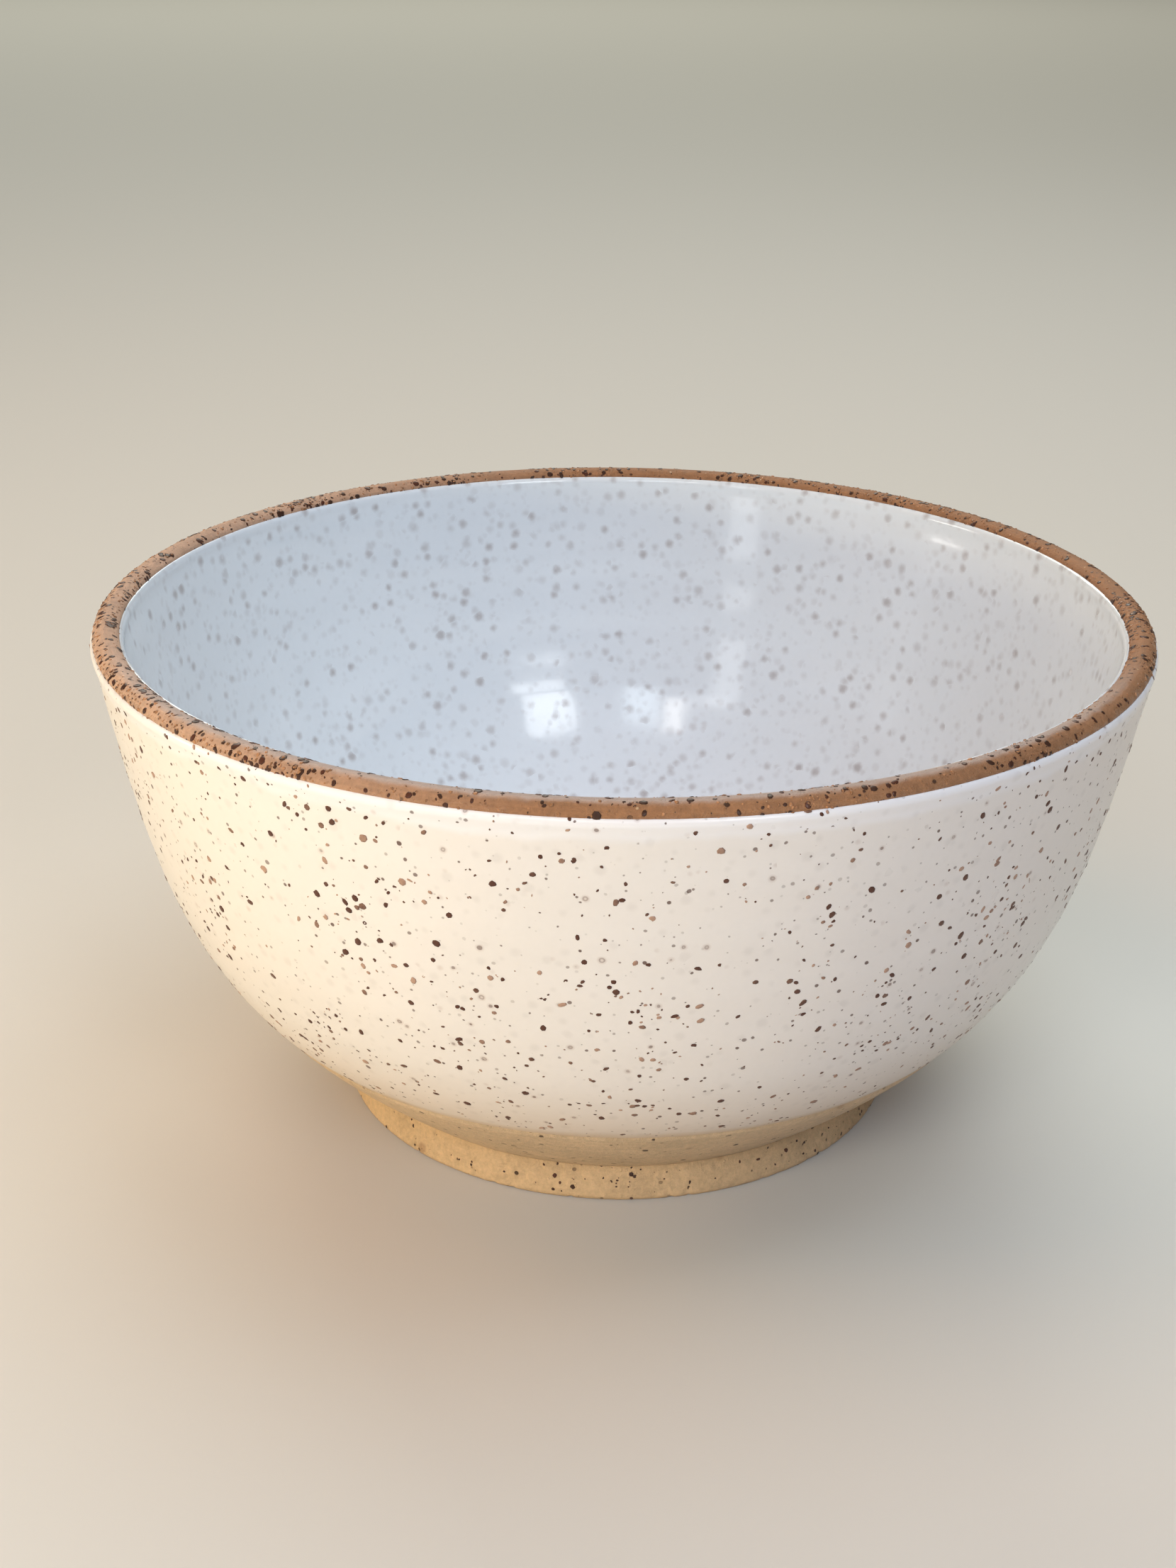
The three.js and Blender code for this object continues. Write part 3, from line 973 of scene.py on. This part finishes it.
class YARNBOWL_OT_clay_body(bpy.types.Operator):
    """Turns the clay body: the wall, the floor and the bare lip"""

    bl_idname = "yarnbowl.clay_body"
    bl_label = "Turn the Clay Body"

    def execute(self, context):
        settings = context.scene.yarn_bowl
        shape, clay = settings.shape, settings.clay
        outer, inner = outside(shape), inside(shape)
        outer_edge, inner_edge = outer.at_height(GLAZE_TOP), inner.at_height(GLAZE_TOP_INSIDE)
        line = outer.at_height(GLAZE_LINE)
        bare, buried, under = 0.9 * MM, -1.0 * shape.coat, -0.05 * MM

        def lip_lift(edge):
            return lambda runs: buried * np.clip((runs - edge + 0.4 * MM) / bare, 0, 1) ** 2

        lip_marks = (0.03 * MM, 0.015 * MM)
        seat = [(r, SEAT_HEIGHT) for r in np.linspace(0, outer.points[-1][0], 22)]
        profile = joined(
            (np.array(seat), 0.03 * MM, 0.02 * MM),
            (outer.stretch(outer.end, line - 0.1 * MM, 32, under)[1:], 0.035 * MM, 0.03 * MM),
            (outer.stretch(line - 0.9 * MM, outer_edge + bare + 0.3 * MM, 14, buried), 0.0, 0.0),
            (outer.stretch(outer_edge + bare, 0, 26, lip_lift(outer_edge)), *lip_marks),
            (inner.stretch(0, inner_edge + bare, 26, lip_lift(inner_edge))[1:], *lip_marks),
            (inner.stretch(inner_edge + bare + 0.3 * MM, inner.end - 4 * MM, 16, buried), 0.0, 0.0),
            (np.array([(0, FLOOR_HEIGHT + buried)]), 0.0, 0.0),
        )
        material = clay_material("toasted_clay", clay.lip, clay.underside, clay, 0.35)
        item = turn("clay_body_turned", profile, material, grain_size=0.8 * MM, ring_pitch=1.4 * MM)
        fit(item, "clay_body")
        return {"FINISHED"}


class YARNBOWL_OT_foot_ring(bpy.types.Operator):
    """Turns the trimmed foot ring"""

    bl_idname = "yarnbowl.foot_ring"
    bl_label = "Turn the Foot Ring"

    def execute(self, context):
        settings = context.scene.yarn_bowl
        shape, clay = settings.shape, settings.clay
        inner = FOOT_RADIUS - shape.foot_width
        crease = FOOT_RADIUS - shape.foot_flare
        top = SEAT_HEIGHT + 0.3 * MM
        edge = 1.0 * MM

        def rounded(centre_radius, start, end):
            angles = np.radians(np.linspace(start, end, 9))
            arc = np.stack([np.cos(angles), np.sin(angles)], axis=1)
            return np.array([centre_radius, edge]) + edge * arc

        def line(start, end, count):
            return np.linspace(start, end, count)[1:-1]

        corner, hollow = rounded(FOOT_RADIUS - edge, -90, 0), rounded(inner + edge, 180, 270)
        waist = np.array([crease - 0.35 * MM, FOOT_HEIGHT])
        profile = joined(
            (corner, 0.05 * MM, 0.0),
            (line(corner[-1], waist, 22), 0.05 * MM, 0.04 * MM),
            (np.array([waist, (crease - 0.6 * MM, top)]), 0.04 * MM, 0.0),
            (line((crease - 0.6 * MM, top), (inner, top), 5), 0.0, 0.0),
            (line((inner, top), hollow[0], 14), 0.04 * MM, 0.0),
            (hollow, 0.04 * MM, 0.0),
            (line(hollow[-1], corner[0], 12), 0.02 * MM, 0.0),
            (corner[:1], 0.05 * MM, 0.0),
        )
        material = clay_material("foot_clay", clay.foot, clay.foot, clay, 0.12)
        item = turn(
            "foot_ring_turned", profile, material,
            grain_size=1.2 * MM, ring_pitch=1.9 * MM,
            trim_marks=92.0, trim_depth=0.2 * MM,
        )
        fit(item, "foot_ring")
        return {"FINISHED"}


def coat_of_glaze(side, start, end, coat):
    """The face and the back of a coat, from one distance down a side to another. The face
    rises out of the clay at each end, and the back is sunk in the clay. Each comes with how
    far its points follow the waviness of the edges."""
    reach = 2.2 * MM
    runs = [np.linspace(start, start + reach, 26)]
    if end < side.end - 1 * MM:
        runs += [np.linspace(start + reach, end - reach, 84)[1:-1]]
        runs += [np.linspace(end - reach, end, 20)]
    else:
        runs += [np.linspace(start + reach, end, 104)[1:]]
    runs = np.concatenate(runs)
    back_runs = np.linspace(start, end, 24)

    def follow(places):
        upper = np.exp(-(((places - start) / (2.4 * MM)) ** 2))
        lower = np.exp(-(((end - places) / (2.4 * MM)) ** 2)) * (end < side.end - 1 * MM)
        return upper + lower

    lift = coat_lift(side, start, end, 1.05 * coat)
    face, back = side.at(runs, lift(runs)), side.at(back_runs, np.full(24, -1.25 * coat))
    if end >= side.end - 1 * MM:
        face[-1][0] = back[-1][0] = 0
    return face, follow(runs), back, -follow(back_runs)


class YARNBOWL_OT_outer_glaze(bpy.types.Operator):
    """Coats the outside in cream glaze, from under the lip to the glaze line"""

    bl_idname = "yarnbowl.outer_glaze"
    bl_label = "Glaze the Outside"

    def execute(self, context):
        settings = context.scene.yarn_bowl
        shape, glaze = settings.shape, settings.glaze
        side = outside(shape)
        start, end = side.at_height(GLAZE_TOP), side.at_height(GLAZE_LINE)
        face, follow, back, back_follow = coat_of_glaze(side, start, end, shape.coat)
        profile = joined(
            (face[::-1], 0.012 * MM, 0.035 * MM, -follow[::-1]),
            (back, 0.0, 0.0, -back_follow),
            (face[-1:], 0.012 * MM, 0.035 * MM, -follow[-1:]),
        )
        material = glaze_material(
            "cream_glaze", glaze.outer, glaze.iron, glaze, glaze.outer_roughness, 0.0
        )
        item = turn(
            "outer_glaze_coat", profile, material,
            grain_size=7 * MM, ring_pitch=8.5 * MM, edge_wave=0.35 * MM,
        )
        fit(item, "outer_glaze")
        return {"FINISHED"}


class YARNBOWL_OT_inner_glaze(bpy.types.Operator):
    """Coats the inside in pale glaze, from the lip across the floor"""

    bl_idname = "yarnbowl.inner_glaze"
    bl_label = "Glaze the Inside"

    def execute(self, context):
        settings = context.scene.yarn_bowl
        shape, glaze = settings.shape, settings.glaze
        side = inside(shape)
        start = side.at_height(GLAZE_TOP_INSIDE)
        face, follow, back, back_follow = coat_of_glaze(side, start, side.end, shape.coat)
        profile = joined(
            (back[::-1], 0.0, 0.0, back_follow[::-1]),
            (face, 0.015 * MM, 0.045 * MM, follow),
        )
        material = glaze_material(
            "pale_grey_glaze", glaze.inner, glaze.soft_iron, glaze, glaze.inner_roughness, 1.0
        )
        item = turn(
            "inner_glaze_coat", profile, material,
            grain_size=9 * MM, ring_pitch=10 * MM,
            edge_wave=0.25 * MM, front_climb=0.8 * MM,
        )
        fit(item, "inner_glaze")
        return {"FINISHED"}


def scatter(name, source, material, slot, **values):
    """A piece of raised specks on the face of another piece."""
    inputs = {"Material": material, **titled(values)}
    item = apply_tree(new_item(name, source.data.copy()), speck_tree(), inputs)
    item.data.materials.clear()
    item.data.materials.append(material)
    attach(item, "root")
    return item


class YARNBOWL_OT_iron_specks(bpy.types.Operator):
    """Scatters the raised iron specks over the glaze outside, the lip and the foot"""

    bl_idname = "yarnbowl.iron_specks"
    bl_label = "Scatter the Iron Specks"

    def execute(self, context):
        glaze = context.scene.yarn_bowl.glaze
        items = bpy.data.objects
        outside_iron = iron_material("iron_in_glaze", glaze.iron, glaze.faded)
        scatter(
            "glaze_specks", items["outer_glaze_coat"], outside_iron, "cream_glaze",
            density=glaze.specks, lowest=GLAZE_LINE + 2 * MM, highest=GLAZE_TOP - 0.2 * MM,
            smallest=0.13 * MM, largest=0.55 * MM, seed=3,
        )
        clay_iron = iron_material("iron_in_clay", context.scene.yarn_bowl.clay.iron, glaze.iron)
        scatter(
            "lip_specks", items["clay_body_turned"], clay_iron, "toasted_clay",
            density=640000.0, lowest=HEIGHT - 2.2 * MM, highest=HEIGHT + 1 * MM,
            smallest=0.13 * MM, largest=0.56 * MM, seed=5,
        )
        sand = sand_material("sand_in_clay", context.scene.yarn_bowl.clay)
        scatter(
            "lip_sand", items["clay_body_turned"], sand, "toasted_clay",
            density=800000.0, lowest=HEIGHT - 2 * MM, highest=HEIGHT - 0.05 * MM,
            smallest=0.1 * MM, largest=0.32 * MM, raggedness=0.3 * MM, sides=6, relief=0.5, seed=11,
        )
        scatter(
            "foot_specks", items["foot_ring_turned"], clay_iron, "foot_clay",
            density=150000.0, lowest=0.3 * MM, highest=FOOT_HEIGHT,
            smallest=0.1 * MM, largest=0.36 * MM, seed=8,
        )
        return {"FINISHED"}


# ---------------------------------------------------------------------------------------
# Panel and registration
# ---------------------------------------------------------------------------------------

STEPS = (
    YARNBOWL_OT_stage,
    YARNBOWL_OT_clay_body,
    YARNBOWL_OT_foot_ring,
    YARNBOWL_OT_outer_glaze,
    YARNBOWL_OT_inner_glaze,
    YARNBOWL_OT_iron_specks,
)


class YARNBOWL_PT_panel(bpy.types.Panel):
    """Lists the steps that make the bowl, with their settings"""

    bl_label = "Yarn Bowl"
    bl_idname = "YARNBOWL_PT_panel"
    bl_space_type = "VIEW_3D"
    bl_region_type = "UI"
    bl_category = "Yarn Bowl"

    def draw(self, context):
        for step in STEPS:
            self.layout.operator(step.bl_idname)
        settings = context.scene.yarn_bowl
        for group in (settings.shape, settings.clay, settings.glaze, settings.stage):
            box = self.layout.box()
            for name in group.__annotations__:
                box.prop(group, name)


SETTINGS = (BowlShape, ClayFinish, GlazeFinish, BowlStage, YarnBowlSettings)
CLASSES = (*SETTINGS, *STEPS, YARNBOWL_PT_panel)


def register():
    for item in CLASSES:
        bpy.utils.register_class(item)
    bpy.types.Scene.yarn_bowl = PointerProperty(type=YarnBowlSettings)


def unregister():
    del bpy.types.Scene.yarn_bowl
    for item in reversed(CLASSES):
        bpy.utils.unregister_class(item)


def main():
    register()
    bpy.ops.yarnbowl.stage()
    bpy.ops.yarnbowl.clay_body()
    bpy.ops.yarnbowl.foot_ring()
    bpy.ops.yarnbowl.outer_glaze()
    bpy.ops.yarnbowl.inner_glaze()
    bpy.ops.yarnbowl.iron_specks()


if __name__ == "__main__":
    main()
